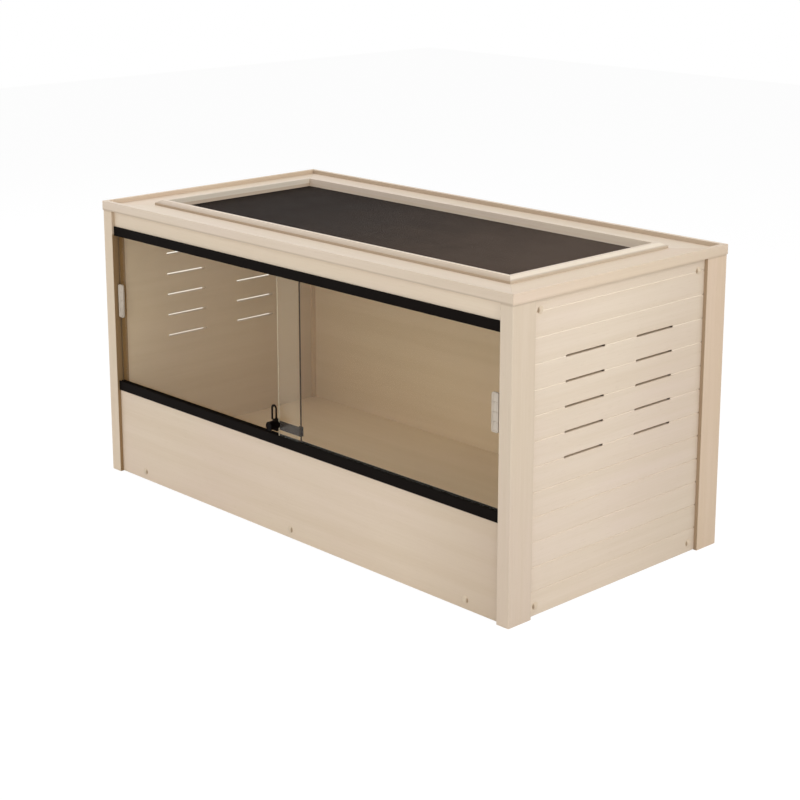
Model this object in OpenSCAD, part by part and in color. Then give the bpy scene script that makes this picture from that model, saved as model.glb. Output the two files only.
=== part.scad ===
// Terrarium cabinet: a wood case on four corner posts, with a raised screen
// in its cap and two glass doors that slide in black tracks.
// The origin is on the floor, under the middle of the cabinet. The doors face -Y.

/* [Cabinet] */
// Width over the cap
cabinet_w = 1220; // [1120:10:1320]
// Depth over the cap
cabinet_d = 610; // [570:10:660]
// Height to the rim of the cap
cabinet_h = 614; // [600:2:660]
// Thickness of the wood panels
panel_t = 15; // [13:1:16]
// Gap between the floor and the lower edge of the panels
panel_lift = 1; // [0.5:0.5:3]

/* [Corner posts] */
// Width of a post's front face
post_w = 30; // [26:1:36]
// Width of a post's side face
post_side = 60; // [54:1:70]
// Depth of the solid block behind the front face
post_block = 33; // [30:1:38]
// How far the panels lie behind the posts
recess = 8; // [6:1:9]
// Radius of the posts' outer edges
post_edge_r = 1.5; // [0.5:0.5:3]

/* [Floor and battens] */
// Height of the floor's upper face
floor_z = 54; // [50:1:60]
// Thickness of a batten
batten_t = 20; // [18:1:24]
// Height of a batten
batten_h = 36; // [32:1:38]

/* [Front] */
// Height of the kick panel's upper edge
kick_h = 190; // [180:1:200]
// Height of the top rail over the doors
top_rail_h = 34; // [30:1:38]

/* [Tracks] */
// Height of the lower track
lower_track_h = 21; // [18:1:24]
// Height of the upper track
upper_track_h = 20; // [18:1:24]
// How far the tracks lie behind the posts
track_recess = 5; // [4:0.5:6]
// Thickness of a track's fins
fin_t = 1.5; // [1.2:0.1:1.8]
// Width of a glass groove
groove_w = 5; // [4.8:0.1:5.4]
// Thickness of the web under the lower track's grooves
lower_web_t = 12; // [10:0.5:13]
// Thickness of the web over the upper track's grooves
upper_web_t = 3; // [2:0.5:3]

/* [Glass doors] */
// Thickness of the glass
glass_t = 4; // [3.8:0.1:4.2]
// How far the doors overlap in the middle
door_overlap = 64; // [56:2:72]
// Gap between a door and the post beside it
door_gap = 1; // [0.5:0.5:2]
// Clearance under a door
door_lift = 0.5; // [0.3:0.1:1]
// How far a door reaches into the upper track, short enough to lift it out
door_engage = 6.5; // [5:0.5:7]

/* [Handles] */
// Width of a handle
handle_w = 17; // [15:1:22]
// Height of a handle
handle_h = 74; // [66:1:78]
// Thickness of a handle
handle_t = 5; // [4:0.5:5.5]
// Height of a handle's middle
handle_z = 394; // [380:1:410]
// Distance from the handle to the door's edge
handle_inset = 2; // [1:0.5:6]

/* [Lock] */
// Height of the barrel's axis
lock_z = 234; // [232:0.5:236]
// Radius of the lock barrel
barrel_r = 9; // [8.5:0.5:10]
// Length of the barrel in front of the glass
barrel_len = 22.5; // [20:0.5:23]
// Height of the ratchet bar
bar_h = 19; // [17:1:20]
// Radius of the plug that the key turns
plug_r = 4.2; // [4:0.1:4.5]
// Height of the key above the barrel
key_h = 33.5; // [26:0.5:36]
// Width of the key's bow
key_w = 17; // [14:1:18]

/* [Vents] */
// Height of one board of the grooved side panels
board_h = 47.5; // [46:0.5:48]
// Width of a V-groove
groove_mouth = 3; // [2.4:0.2:4]
// Depth of a V-groove
groove_depth = 1.2; // [1:0.1:2.5]
// Height of a vent slot
slot_h = 4.6; // [3.4:0.1:5]
// How much a vent slot falls from the inside to the outside
slot_fall = 1.5; // [0:0.5:4]
// Length of a vent slot
slot_len = 108; // [100:1:116]
// Distance between the two columns of slots
slot_gap = 90; // [80:1:100]

/* [Cap] */
// Height of the cap
cap_h = 20; // [19:1:24]
// How far the cap stands out over the posts
cap_overhang = 1; // [0.5:0.5:2]
// Width of the cap's raised lip
lip_w = 10; // [8:1:12]
// How far the top boards lie below the lip
lip_h = 9; // [7:1:10]

/* [Screen] */
// Length of the opening under the screen
screen_w = 1014; // [980:2:1040]
// Depth of the opening under the screen
screen_d = 406; // [380:2:430]
// Width of the screen frame
frame_w = 21; // [18:1:26]
// Width of the screen frame's flat top
frame_top_w = 9; // [6:1:12]
// Height of the screen frame over the top boards
frame_h = 11; // [9:1:12]
// Height of the screen frame's outer edge, under its slope
frame_edge_h = 5; // [3:0.5:7]
// Thickness of the screen
screen_t = 1; // [0.8:0.1:1.2]
// Openings along the screen
screen_cells_x = 12; // [8:1:12]
// Openings across the screen
screen_cells_y = 5; // [3:1:6]
// Width of a strip between the screen's openings
screen_strip_w = 6; // [3:1:12]
// Width of the rebate that takes the screen
rebate_w = 12; // [10:1:14]
// Depth of the rebate, from under the boards
rebate_h = 3.5; // [3:0.5:4.5]

/* [Screws] */
// Radius of a screw's shank
shank_r = 2.4; // [2:0.1:2.6]
// Radius of a screw's head
head_r = 4.5; // [4:0.1:5]
// Thickness of a screw's head
head_t = 3; // [2.5:0.5:4]
// Length of a screw
screw_len = 32; // [28:1:33]
// Radius of a cover cap
cover_r = 7.5; // [6.5:0.5:8]
// Height of a cover cap's dome
cover_h = 2.4; // [1.8:0.2:3]
// Distance from the side panels' screws to the middle of the cabinet
side_screw_y = 225; // [205:5:235]
// Distance from the outer front and back screws to the middle
front_screw_x = 494; // [460:2:520]
// Height of the low row of screws
low_screw_z = 19; // [17:1:24]

/* [Hidden] */
$fn = 48;
arc_steps = 4;
dome_steps = 6;
cover_rim = 0.6;
fit_gap = 0.1;
// How far a cut runs past the face it opens
past = 1;
wood = [0.87, 0.79, 0.70];
wood_side = [0.89, 0.83, 0.75];
wood_top = [0.90, 0.84, 0.78];
wood_inside = [0.78, 0.69, 0.57];
black = [0.10, 0.09, 0.09];
steel = [0.62, 0.62, 0.64];
screen_grey = [0.24, 0.21, 0.19];
glass_tint = [0.72, 0.76, 0.72, 0.35];
clear_plastic = [0.80, 0.77, 0.72];

post_x = cabinet_w / 2 - cap_overhang;
post_y = cabinet_d / 2 - cap_overhang;
cap_z = cabinet_h - cap_h;
board_z = cabinet_h - lip_h;

// Faces of the panels: out is the outer face, in is the inner one
side_out = post_x - recess;
side_in = side_out - panel_t;
front_out = post_y - recess;
front_in = front_out - panel_t;
inner_x = post_x - post_w;
block_y = post_y - post_block;

floor_t = panel_t;
low_batten_z = [floor_z - floor_t - batten_h, floor_z - floor_t];
top_batten_z = [cap_z - batten_h, cap_z];
high_screw_z = cap_z - 22;

// Tracks: distances from the middle of the cabinet towards the front
track_front = post_y - track_recess;
track_back = track_front - 3 * fin_t - 2 * groove_w;
lower_track_z = [kick_h, kick_h + lower_track_h];
upper_track_z = [cap_z - top_rail_h - upper_track_h, cap_z - top_rail_h];
glass_slack = (groove_w - glass_t) / 2;
front_glass_y = track_front - fin_t - glass_slack;
rear_glass_y = front_glass_y - fin_t - groove_w;
glass_z = [lower_track_z[0] + lower_web_t + door_lift, upper_track_z[0] + door_engage];
door_edge_x = inner_x - door_gap;
door_lap_x = door_overlap / 2;

// Lock: the barrel stands before the right door's inner edge, and its foot beside it
lock_x = -door_lap_x - 3;
lock_gap = 0.4;
bar_t = 1.5;
bar_join = 0.2;
bar_drop = 2.5;
bar_gap = 0.5;
bar_y = front_glass_y - glass_t - (fin_t + 2 * glass_slack - bar_t) / 2;
bar_z = [lock_z - bar_drop - bar_h / 2, lock_z - bar_drop + bar_h / 2];
bar_left_x = lock_x - 12;
hook_x = door_lap_x + 1.5;
hook_len = 10;
tooth = 1.2;
tooth_pitch = 4;
tooth_count = 6;
tooth_land = 1;
foot_x = [lock_x - barrel_r, -door_lap_x - lock_gap];
foot_rise = 2.4;
foot_drop = 2;
foot_lap = 3;
barrel_chamfer = 0.8;
barrel_rim = 2.2;
barrel_sink = 0.6;
foot_z = [bar_z[0] - foot_drop, bar_z[1] + foot_rise];
barrel_front_y = front_glass_y + barrel_len;
barrel_back_y = front_glass_y + lock_gap;
foot_back_y = rear_glass_y + lock_gap;
plug_y = front_glass_y + 7;
plug_z = [lock_z - 2, lock_z + barrel_r + 0.3];
plug_gap = 0.05;
plug_lift = 0.2;
key_t = 2;
key_blade_w = 5.6;
key_blade_z = lock_z + 0.6;
key_slot_gap = 0.2;
key_leg = 4.6;
key_lift = 0.5;
key_bow_r = 1.5;
key_bow_flat = 1;
key_foot_h = 2.5;
key_eye_r = 1;

// Vent slots and grooves
groove_count = floor((cap_z - groove_mouth) / board_h);
slot_rows = [6 : 10];
slot_y = slot_gap / 2;

// Screen
screen_x = screen_w / 2;
screen_y = screen_d / 2;
frame_z = board_z + frame_h;
screen_z = cap_z + rebate_h - screen_t;
screen_gap = 1;
cap_in_x = cabinet_w / 2 - lip_w;
cap_in_y = cabinet_d / 2 - lip_w;
lip_edge_r = 1;
frame_edge_r = 1;
cap_screw_x = [-450, -150, 150, 450];
cap_screw_y = [-150, 150];
cap_screw_rise = 8;
cap_screw_slack = 0.5;

// Handles and their pads
pad_t = 0.5;
pad_inset = 2;
handle_rim = 2.5;
handle_floor_t = 2;
handle_corner_r = 4;
handle_hollow_r = 2;
rib_w = 2;
rib_rise = 1.5;
rib_sink = 1;
rib_join = 0.5;
rib_at = [-18, 0, 18];

// Unit vector along v
function unit(v) = v / norm(v);

// Point v turned by an angle round the origin
function turned(v, angle) = [
    v[0] * cos(angle) - v[1] * sin(angle),
    v[0] * sin(angle) + v[1] * cos(angle)
];

// Points of the arc that rounds corner p, between its neighbours a and b, to radius r
function corner_arc(a, p, b, r) =
    r <= 0 ? [p] :
    let (u = unit(a - p))
    let (v = unit(b - p))
    let (half = acos(u * v) / 2)
    let (centre = p + unit(u + v) * r / sin(half))
    let (start = p + u * r / tan(half) - centre)
    let (end = p + v * r / tan(half) - centre)
    let (sweep = (180 - 2 * half) * sign(cross(start, end)))
    [for (i = [0 : arc_steps]) centre + turned(start, sweep * i / arc_steps)];

// Outline whose corners [x, y, r] are rounded to their own radius
function rounded(corners) =
    let (n = len(corners))
    [for (i = [0 : n - 1]) each corner_arc(
        [corners[(i + n - 1) % n][0], corners[(i + n - 1) % n][1]],
        [corners[i][0], corners[i][1]],
        [corners[(i + 1) % n][0], corners[(i + 1) % n][1]],
        corners[i][2])];

// Block between low and high values on each axis
module block(x, y, z) {
    translate([x[0], y[0], z[0]])
        cube([x[1] - x[0], y[1] - y[0], z[1] - z[0]]);
}

// Extrudes an outline of (depth, height) points along X, with depth towards -Y
module along_front(length) {
    rotate([90, 0, -90])
        translate([0, 0, -length / 2])
            linear_extrude(length)
                children();
}

// Puts what is drawn for the front on the back, or for the right on the left
module on_back() {
    mirror([0, 1, 0])
        children();
}
module on_left() {
    mirror([1, 0, 0])
        children();
}

// Places of the screws, as [x, z] on the front and back, and [y, z] on the sides
front_screws_at = [for (x = [-front_screw_x, 0, front_screw_x]) [x, low_screw_z]];
back_screws_at = [
    for (x = [-front_screw_x, 0, front_screw_x])
        for (z = [low_screw_z, high_screw_z]) [x, z]
];
side_screws_at = [
    for (y = [-side_screw_y, side_screw_y])
        for (z = [low_screw_z, high_screw_z]) [y, z]
];

// Children drawn on +Z are put at each place on the front, pointing out of it
module at_front(places) {
    for (p = places)
        translate([p[0], -front_out, p[1]])
            rotate([90, 0, 0])
                children();
}
module at_right(places) {
    for (p = places)
        translate([side_out, p[0], p[1]])
            rotate([0, 90, 0])
                children();
}

// Screw whose head is flush with the face it is driven through
module screw() {
    translate([0, 0, -head_t])
        cylinder(r = head_r, h = head_t);
    translate([0, 0, -screw_len])
        cylinder(r = shank_r, h = screw_len - head_t);
}
module screw_hole() {
    translate([0, 0, -head_t])
        cylinder(r = head_r + fit_gap, h = head_t + past);
    translate([0, 0, -screw_len - past])
        cylinder(r = shank_r + fit_gap, h = screw_len);
}

// Domed plastic cover over a screw's head: a low rim, and an arc from it to the middle
module cover() {
    rise = cover_h - cover_rim;
    dome_r = (cover_r * cover_r + rise * rise) / (2 * rise);
    half_angle = asin(cover_r / dome_r);
    dome = [for (i = [dome_steps : -1 : 0])
        let (angle = half_angle * i / dome_steps)
        [dome_r * sin(angle), cover_h - dome_r + dome_r * cos(angle)]];
    rotate_extrude()
        polygon(concat([[0, 0], [cover_r, 0]], dome));
}

// Post in the front right corner: a solid block with a flange over the side panel
module corner_post() {
    color(wood)
        linear_extrude(cap_z)
            polygon(rounded([
                [inner_x, -post_y, post_edge_r],
                [post_x, -post_y, post_edge_r],
                [post_x, post_side - post_y, post_edge_r],
                [side_out, post_side - post_y, 0],
                [side_out, -block_y, 0],
                [inner_x, -block_y, 0]
            ]));
}
module post_front_right() {
    corner_post();
}
module post_front_left() {
    on_left() corner_post();
}
module post_rear_right() {
    on_back() corner_post();
}
module post_rear_left() {
    on_left() on_back() corner_post();
}

// Panels
module kick_panel() {
    color(wood)
        difference() {
            block([-inner_x, inner_x], [-front_out, -front_in], [panel_lift, kick_h]);
            at_front(front_screws_at) screw_hole();
        }
}
module front_top_rail() {
    color(wood)
        block([-inner_x, inner_x], [-front_out, -front_in], [upper_track_z[1], cap_z]);
}
module back_panel() {
    color(wood)
        difference() {
            block([-inner_x, inner_x], [front_in, front_out], [panel_lift, cap_z]);
            on_back() at_front(back_screws_at) screw_hole();
        }
}

// V-groove along Y in the right panel's outer face
module side_groove(z) {
    mouth = groove_mouth / 2 * (1 + past / groove_depth);
    translate([side_out, block_y + past, z])
        rotate([90, 0, 0])
            linear_extrude(2 * (block_y + past))
                polygon([[past, mouth], [past, -mouth], [-groove_depth, 0]]);
}
// Vent slot in the right panel, on a groove, with its nearer end at y
module vent_slot(y, z) {
    slope = slot_fall / panel_t;
    inner = panel_t + past;
    half = slot_h / 2;
    translate([side_out, y + slot_len, z])
        rotate([90, 0, 0])
            linear_extrude(slot_len)
                polygon([
                    [past, half - past * slope],
                    [-inner, half + inner * slope],
                    [-inner, inner * slope - half],
                    [past, -half - past * slope]
                ]);
}
module side_panel() {
    color(wood_side)
        difference() {
            block([side_in, side_out], [-block_y, block_y], [panel_lift, cap_z]);
            for (k = [1 : groove_count]) side_groove(k * board_h);
            for (k = slot_rows)
                for (y = [-slot_y - slot_len, slot_y])
                    vent_slot(y, k * board_h);
            at_right(side_screws_at) screw_hole();
        }
}
module right_side_panel() {
    side_panel();
}
module left_side_panel() {
    on_left() side_panel();
}

// Floor, notched round the posts
module floor_panel() {
    color(wood_inside)
        difference() {
            block([-side_in, side_in], [-front_in, front_in], [floor_z - floor_t, floor_z]);
            for (x = [-1, 1])
                for (y = [-1, 1])
                    translate([
                        x * (inner_x + post_w / 2),
                        y * (block_y + post_block / 2),
                        floor_z - floor_t / 2
                    ])
                        cube([post_w, post_block, floor_t + 2 * past], center = true);
        }
}

// Battens, behind the front panel and the side panels
module front_batten(z, places) {
    color(wood_inside)
        difference() {
            block([-inner_x, inner_x], [-front_in, batten_t - front_in], z);
            at_front(places) screw_hole();
        }
}
module side_batten(z) {
    color(wood_inside)
        difference() {
            block([side_in - batten_t, side_in], [batten_t - front_in, front_in - batten_t], z);
            at_right(side_screws_at) screw_hole();
        }
}
module floor_batten_front() {
    front_batten(low_batten_z, front_screws_at);
}
module floor_batten_rear() {
    on_back() front_batten(low_batten_z, back_screws_at);
}
module floor_batten_right() {
    side_batten(low_batten_z);
}
module floor_batten_left() {
    on_left() side_batten(low_batten_z);
}

// Screws that hold the cap down, driven upwards through the top battens
front_cap_screws_at = [for (x = cap_screw_x) [x, batten_t / 2 - front_in]];
side_cap_screws_at = [for (y = cap_screw_y) [side_in - batten_t / 2, y]];
module at_batten(places) {
    for (p = places)
        translate([p[0], p[1], top_batten_z[0]])
            children();
}
module cap_screw() {
    cylinder(r = head_r, h = head_t);
    cylinder(r = shank_r, h = batten_h + cap_screw_rise);
}
module cap_screw_hole() {
    translate([0, 0, -past])
        cylinder(r = head_r + fit_gap, h = head_t + past);
    cylinder(r = shank_r + fit_gap, h = batten_h + cap_screw_rise + cap_screw_slack);
}
module top_batten_front() {
    difference() {
        front_batten(top_batten_z, []);
        at_batten(front_cap_screws_at) cap_screw_hole();
    }
}
module top_batten_rear() {
    on_back()
        difference() {
            front_batten(top_batten_z, back_screws_at);
            at_batten(front_cap_screws_at) cap_screw_hole();
        }
}
module top_batten_right() {
    difference() {
        side_batten(top_batten_z);
        at_batten(side_cap_screws_at) cap_screw_hole();
    }
}
module top_batten_left() {
    on_left() top_batten_right();
}

// Four-sided plan shape of a mitred front piece, from its outer to its inner edge
module mitre_plan(outer_x, outer_y, inner_half_x, inner_y) {
    polygon([
        [-outer_x, -outer_y],
        [outer_x, -outer_y],
        [inner_half_x, -inner_y],
        [-inner_half_x, -inner_y]
    ]);
}

// The same, for a piece on the right
module side_mitre_plan(outer_x, outer_y, inner_half_x, inner_y) {
    polygon([
        [outer_x, -outer_y],
        [outer_x, outer_y],
        [inner_half_x, inner_y],
        [inner_half_x, -inner_y]
    ]);
}

// Cap rail: the band round the cap, whose upper edge is the lip
module rail_section(outer) {
    polygon(rounded([
        [outer, cap_z, 0],
        [outer, cabinet_h, lip_edge_r],
        [outer - lip_w, cabinet_h, lip_edge_r],
        [outer - lip_w, cap_z, 0]
    ]));
}
module cap_rail_front() {
    color(wood_top)
        intersection() {
            along_front(cabinet_w) rail_section(cabinet_d / 2);
            translate([0, 0, cap_z - past])
                linear_extrude(cap_h + 2 * past)
                    mitre_plan(cabinet_w / 2, cabinet_d / 2, cap_in_x, cap_in_y);
        }
}
module cap_rail_right() {
    color(wood_top)
        intersection() {
            rotate([0, 0, 90]) along_front(cabinet_d) rail_section(cabinet_w / 2);
            translate([0, 0, cap_z - past])
                linear_extrude(cap_h + 2 * past)
                    side_mitre_plan(cabinet_w / 2, cabinet_d / 2, cap_in_x, cap_in_y);
        }
}
module cap_rail_rear() {
    on_back() cap_rail_front();
}
module cap_rail_left() {
    on_left() cap_rail_right();
}

// Rebate under the top boards, which takes the screen and its retainers
module screen_rebate() {
    block([-screen_x - rebate_w, screen_x + rebate_w],
        [-screen_y - rebate_w, screen_y + rebate_w],
        [cap_z - past, cap_z + rebate_h]);
}
module top_board_front() {
    color(wood_top)
        difference() {
            translate([0, 0, cap_z])
                linear_extrude(board_z - cap_z)
                    mitre_plan(cap_in_x, cap_in_y, screen_x, screen_y);
            screen_rebate();
            at_batten(front_cap_screws_at) cap_screw_hole();
        }
}
module top_board_right() {
    color(wood_top)
        difference() {
            translate([0, 0, cap_z])
                linear_extrude(board_z - cap_z)
                    side_mitre_plan(cap_in_x, cap_in_y, screen_x, screen_y);
            screen_rebate();
            at_batten(side_cap_screws_at) cap_screw_hole();
        }
}
module top_board_rear() {
    on_back() top_board_front();
}
module top_board_left() {
    on_left() top_board_right();
}

// Screen frame: a moulding that is flat on top and slopes down to a low outer edge
module frame_section(inner) {
    polygon(rounded([
        [inner, board_z, 0],
        [inner + frame_w, board_z, 0],
        [inner + frame_w, board_z + frame_edge_h, frame_edge_r],
        [inner + frame_top_w, frame_z, frame_edge_r],
        [inner, frame_z, frame_edge_r]
    ]));
}
module screen_frame_front() {
    color(wood_top)
        intersection() {
            along_front(2 * (screen_x + frame_w)) frame_section(screen_y);
            translate([0, 0, board_z - past])
                linear_extrude(frame_h + 2 * past)
                    mitre_plan(screen_x + frame_w, screen_y + frame_w, screen_x, screen_y);
        }
}
module screen_frame_right() {
    color(wood_top)
        intersection() {
            rotate([0, 0, 90]) along_front(2 * (screen_y + frame_w)) frame_section(screen_x);
            translate([0, 0, board_z - past])
                linear_extrude(frame_h + 2 * past)
                    side_mitre_plan(screen_x + frame_w, screen_y + frame_w, screen_x, screen_y);
        }
}
module screen_frame_rear() {
    on_back() screen_frame_front();
}
module screen_frame_left() {
    on_left() screen_frame_right();
}

// Screen, a thin sheet in the rebate, with a plain grid of openings for its mesh
module mesh_screen() {
    edge = rebate_w - screen_gap;
    cell_x = screen_w / screen_cells_x;
    cell_y = screen_d / screen_cells_y;
    half_x = (cell_x - screen_strip_w) / 2;
    half_y = (cell_y - screen_strip_w) / 2;
    color(screen_grey)
        difference() {
            block([-screen_x - edge, screen_x + edge], [-screen_y - edge, screen_y + edge],
                [screen_z, screen_z + screen_t]);
            for (i = [0.5 : screen_cells_x - 0.5], j = [0.5 : screen_cells_y - 0.5])
                translate([i * cell_x - screen_x, j * cell_y - screen_y, 0])
                    block([-half_x, half_x], [-half_y, half_y],
                        [screen_z - past, screen_z + screen_t + past]);
        }
}
// Four strips under the screen, flush with the boards' lower face
module screen_retainers() {
    edge = rebate_w - screen_gap;
    color(wood_inside)
        for (s = [-1, 1]) {
            translate([0, s * (screen_y + edge / 2), (cap_z + screen_z) / 2])
                cube([2 * (screen_x + edge), edge, screen_z - cap_z], center = true);
            translate([s * (screen_x + edge / 2), 0, (cap_z + screen_z) / 2])
                cube([edge, 2 * (screen_y - fit_gap), screen_z - cap_z], center = true);
        }
}

// Outline of a track with its web down: three fins and two grooves
module track_section(height, web) {
    difference() {
        translate([track_back, 0])
            square([track_front - track_back, height]);
        for (i = [0, 1])
            translate([track_back + fin_t + i * (fin_t + groove_w), web])
                square([groove_w, height]);
    }
}
module lower_track() {
    color(black)
        translate([0, 0, lower_track_z[0]])
            along_front(2 * inner_x) track_section(lower_track_h, lower_web_t);
}
module upper_track() {
    color(black)
        translate([0, 0, upper_track_z[1]])
            mirror([0, 0, 1])
                along_front(2 * inner_x) track_section(upper_track_h, upper_web_t);
}

// Glass doors
module left_glass() {
    color(glass_tint)
        block([-door_edge_x, door_lap_x], [-rear_glass_y, glass_t - rear_glass_y], glass_z);
}
module right_glass() {
    color(glass_tint)
        block([-door_lap_x, door_edge_x], [-front_glass_y, glass_t - front_glass_y], glass_z);
}

// Stick-on handle: a plate with a raised rim and three ribs in its hollow.
// It is drawn for the right door, with its back on the XZ plane.
handle_x = door_edge_x - handle_inset - handle_w / 2;
module handle_outline(half_w, half_h, r) {
    translate([handle_x, handle_z])
        polygon(rounded([
            [-half_w, -half_h, r],
            [half_w, -half_h, r],
            [half_w, half_h, r],
            [-half_w, half_h, r]
        ]));
}
module handle() {
    hollow_w = handle_w / 2 - handle_rim;
    hollow_h = handle_h / 2 - handle_rim;
    color(clear_plastic)
        rotate([90, 0, 0]) {
            difference() {
                translate([0, 0, pad_t])
                    linear_extrude(handle_t)
                        handle_outline(handle_w / 2, handle_h / 2, handle_corner_r);
                translate([0, 0, pad_t + handle_floor_t])
                    linear_extrude(handle_t)
                        handle_outline(hollow_w, hollow_h, handle_hollow_r);
            }
            for (z = rib_at)
                translate([
                    handle_x - hollow_w - rib_join,
                    handle_z + z - rib_w / 2,
                    pad_t + handle_floor_t - rib_sink
                ])
                    cube([2 * (hollow_w + rib_join), rib_w, rib_sink + rib_rise]);
        }
}
module handle_pad() {
    width = handle_w - 2 * pad_inset;
    height = handle_h - 2 * pad_inset;
    color(black)
        translate([handle_x - width / 2, -pad_t, handle_z - height / 2])
            cube([width, pad_t, height]);
}
module right_handle() {
    translate([0, -front_glass_y, 0]) handle();
}
module left_handle() {
    translate([0, -rear_glass_y, 0]) on_left() handle();
}
module right_handle_pad() {
    translate([0, -front_glass_y, 0]) handle_pad();
}
module left_handle_pad() {
    translate([0, -rear_glass_y, 0]) on_left() handle_pad();
}

// Toothed bar between the two panes, hooked round the left door's edge
module ratchet_bar() {
    color(black) {
        difference() {
            block([bar_left_x, hook_x], [-bar_y, bar_t - bar_y], bar_z);
            for (i = [0 : tooth_count - 1])
                translate([
                    bar_left_x + i * tooth_pitch + tooth_land,
                    past + bar_t - bar_y,
                    bar_z[1]
                ])
                    rotate([90, 0, 0])
                        linear_extrude(bar_t + 2 * past)
                            polygon([[0, -tooth], [tooth_pitch - tooth_land, past], [0, past]]);
        }
        block([door_lap_x, hook_x],
            [bar_t - bar_y - bar_join, glass_t - rear_glass_y + bar_t], bar_z);
        block([hook_x - hook_len, hook_x - bar_join],
            [glass_t - rear_glass_y, glass_t - rear_glass_y + bar_t], bar_z);
    }
}

// Round body of the lock, with a chamfered rim round a shallow sunk face
module barrel() {
    length = barrel_front_y - barrel_back_y;
    rotate_extrude()
        polygon([
            [0, 0],
            [barrel_r, 0],
            [barrel_r, length - barrel_chamfer],
            [barrel_r - barrel_chamfer, length],
            [barrel_r - barrel_rim, length],
            [barrel_r - barrel_rim - barrel_sink, length - barrel_sink],
            [0, length - barrel_sink]
        ]);
}

// Lock barrel: a round body in front of the glass and a foot that holds the bar
module lock_barrel() {
    color(black)
        difference() {
            union() {
                translate([lock_x, -barrel_back_y, lock_z])
                    rotate([90, 0, 0])
                        barrel();
                block(foot_x, [-barrel_back_y - foot_lap, -foot_back_y], foot_z);
            }
            block([foot_x[0] - past, foot_x[1] + past],
                [-bar_y - bar_gap, past - foot_back_y],
                [bar_z[0] - bar_gap, bar_z[1] + bar_gap]);
            translate([lock_x, -plug_y, plug_z[0]])
                cylinder(r = plug_r + plug_gap, h = 2 * barrel_r);
        }
}

// Plug that turns in the barrel, with the key's slot
module lock_plug() {
    color(steel)
        difference() {
            translate([lock_x, -plug_y, plug_z[0] + plug_lift])
                cylinder(r = plug_r, h = plug_z[1] - plug_z[0] - plug_lift);
            translate([lock_x, -plug_y, key_blade_z - 2 * key_slot_gap + barrel_r])
                cube([key_blade_w + 2 * key_slot_gap, key_t + 2 * key_slot_gap, 2 * barrel_r],
                    center = true);
        }
}

// Key: a flat blade in the plug and a long looped bow above it
module door_key() {
    bow_z = max(plug_z[1], foot_z[1]) + key_lift;
    bow_top = lock_z + barrel_r + key_h;
    half_w = key_w / 2;
    eye_w = half_w - key_leg;
    bow = [
        [-half_w, bow_z, key_bow_r],
        [half_w, bow_z, key_bow_r],
        [half_w, bow_top, half_w - key_bow_flat],
        [-half_w, bow_top, half_w - key_bow_flat]
    ];
    eye = [
        [-eye_w, bow_z + key_foot_h, key_eye_r],
        [eye_w, bow_z + key_foot_h, key_eye_r],
        [eye_w, bow_top - key_leg, eye_w - key_bow_flat / 2],
        [-eye_w, bow_top - key_leg, eye_w - key_bow_flat / 2]
    ];
    color(black)
        translate([lock_x, key_t / 2 - plug_y, 0])
            rotate([90, 0, 0])
                linear_extrude(key_t)
                    difference() {
                        union() {
                            polygon(rounded(bow));
                            translate([-key_blade_w / 2, key_blade_z])
                                square([key_blade_w, bow_z + key_bow_r - key_blade_z]);
                        }
                        polygon(rounded(eye));
                    }
}

// Fasteners
module front_screws() {
    color(steel) at_front(front_screws_at) screw();
}
module back_screws() {
    color(steel) on_back() at_front(back_screws_at) screw();
}
module right_side_screws() {
    color(steel) at_right(side_screws_at) screw();
}
module left_side_screws() {
    color(steel) on_left() at_right(side_screws_at) screw();
}
module cap_screws() {
    color(steel) {
        at_batten(front_cap_screws_at) cap_screw();
        on_back() at_batten(front_cap_screws_at) cap_screw();
        at_batten(side_cap_screws_at) cap_screw();
        on_left() at_batten(side_cap_screws_at) cap_screw();
    }
}
module front_screw_covers() {
    color(wood) at_front(front_screws_at) cover();
}
module back_screw_covers() {
    color(wood) on_back() at_front(back_screws_at) cover();
}
module right_side_screw_covers() {
    color(wood_side) at_right(side_screws_at) cover();
}
module left_side_screw_covers() {
    color(wood_side) on_left() at_right(side_screws_at) cover();
}

post_front_left();
post_front_right();
post_rear_left();
post_rear_right();
kick_panel();
front_top_rail();
left_side_panel();
right_side_panel();
back_panel();
floor_panel();
floor_batten_front();
floor_batten_rear();
floor_batten_left();
floor_batten_right();
top_batten_front();
top_batten_rear();
top_batten_left();
top_batten_right();
cap_rail_front();
cap_rail_rear();
cap_rail_left();
cap_rail_right();
top_board_front();
top_board_rear();
top_board_left();
top_board_right();
screen_frame_front();
screen_frame_rear();
screen_frame_left();
screen_frame_right();
mesh_screen();
screen_retainers();
upper_track();
lower_track();
left_glass();
right_glass();
left_handle();
right_handle();
left_handle_pad();
right_handle_pad();
ratchet_bar();
lock_barrel();
lock_plug();
door_key();
front_screws();
left_side_screws();
right_side_screws();
back_screws();
cap_screws();
front_screw_covers();
left_side_screw_covers();
right_side_screw_covers();
back_screw_covers();
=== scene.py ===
import bpy
import math
import numpy as np
from mathutils import Matrix, Vector


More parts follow.
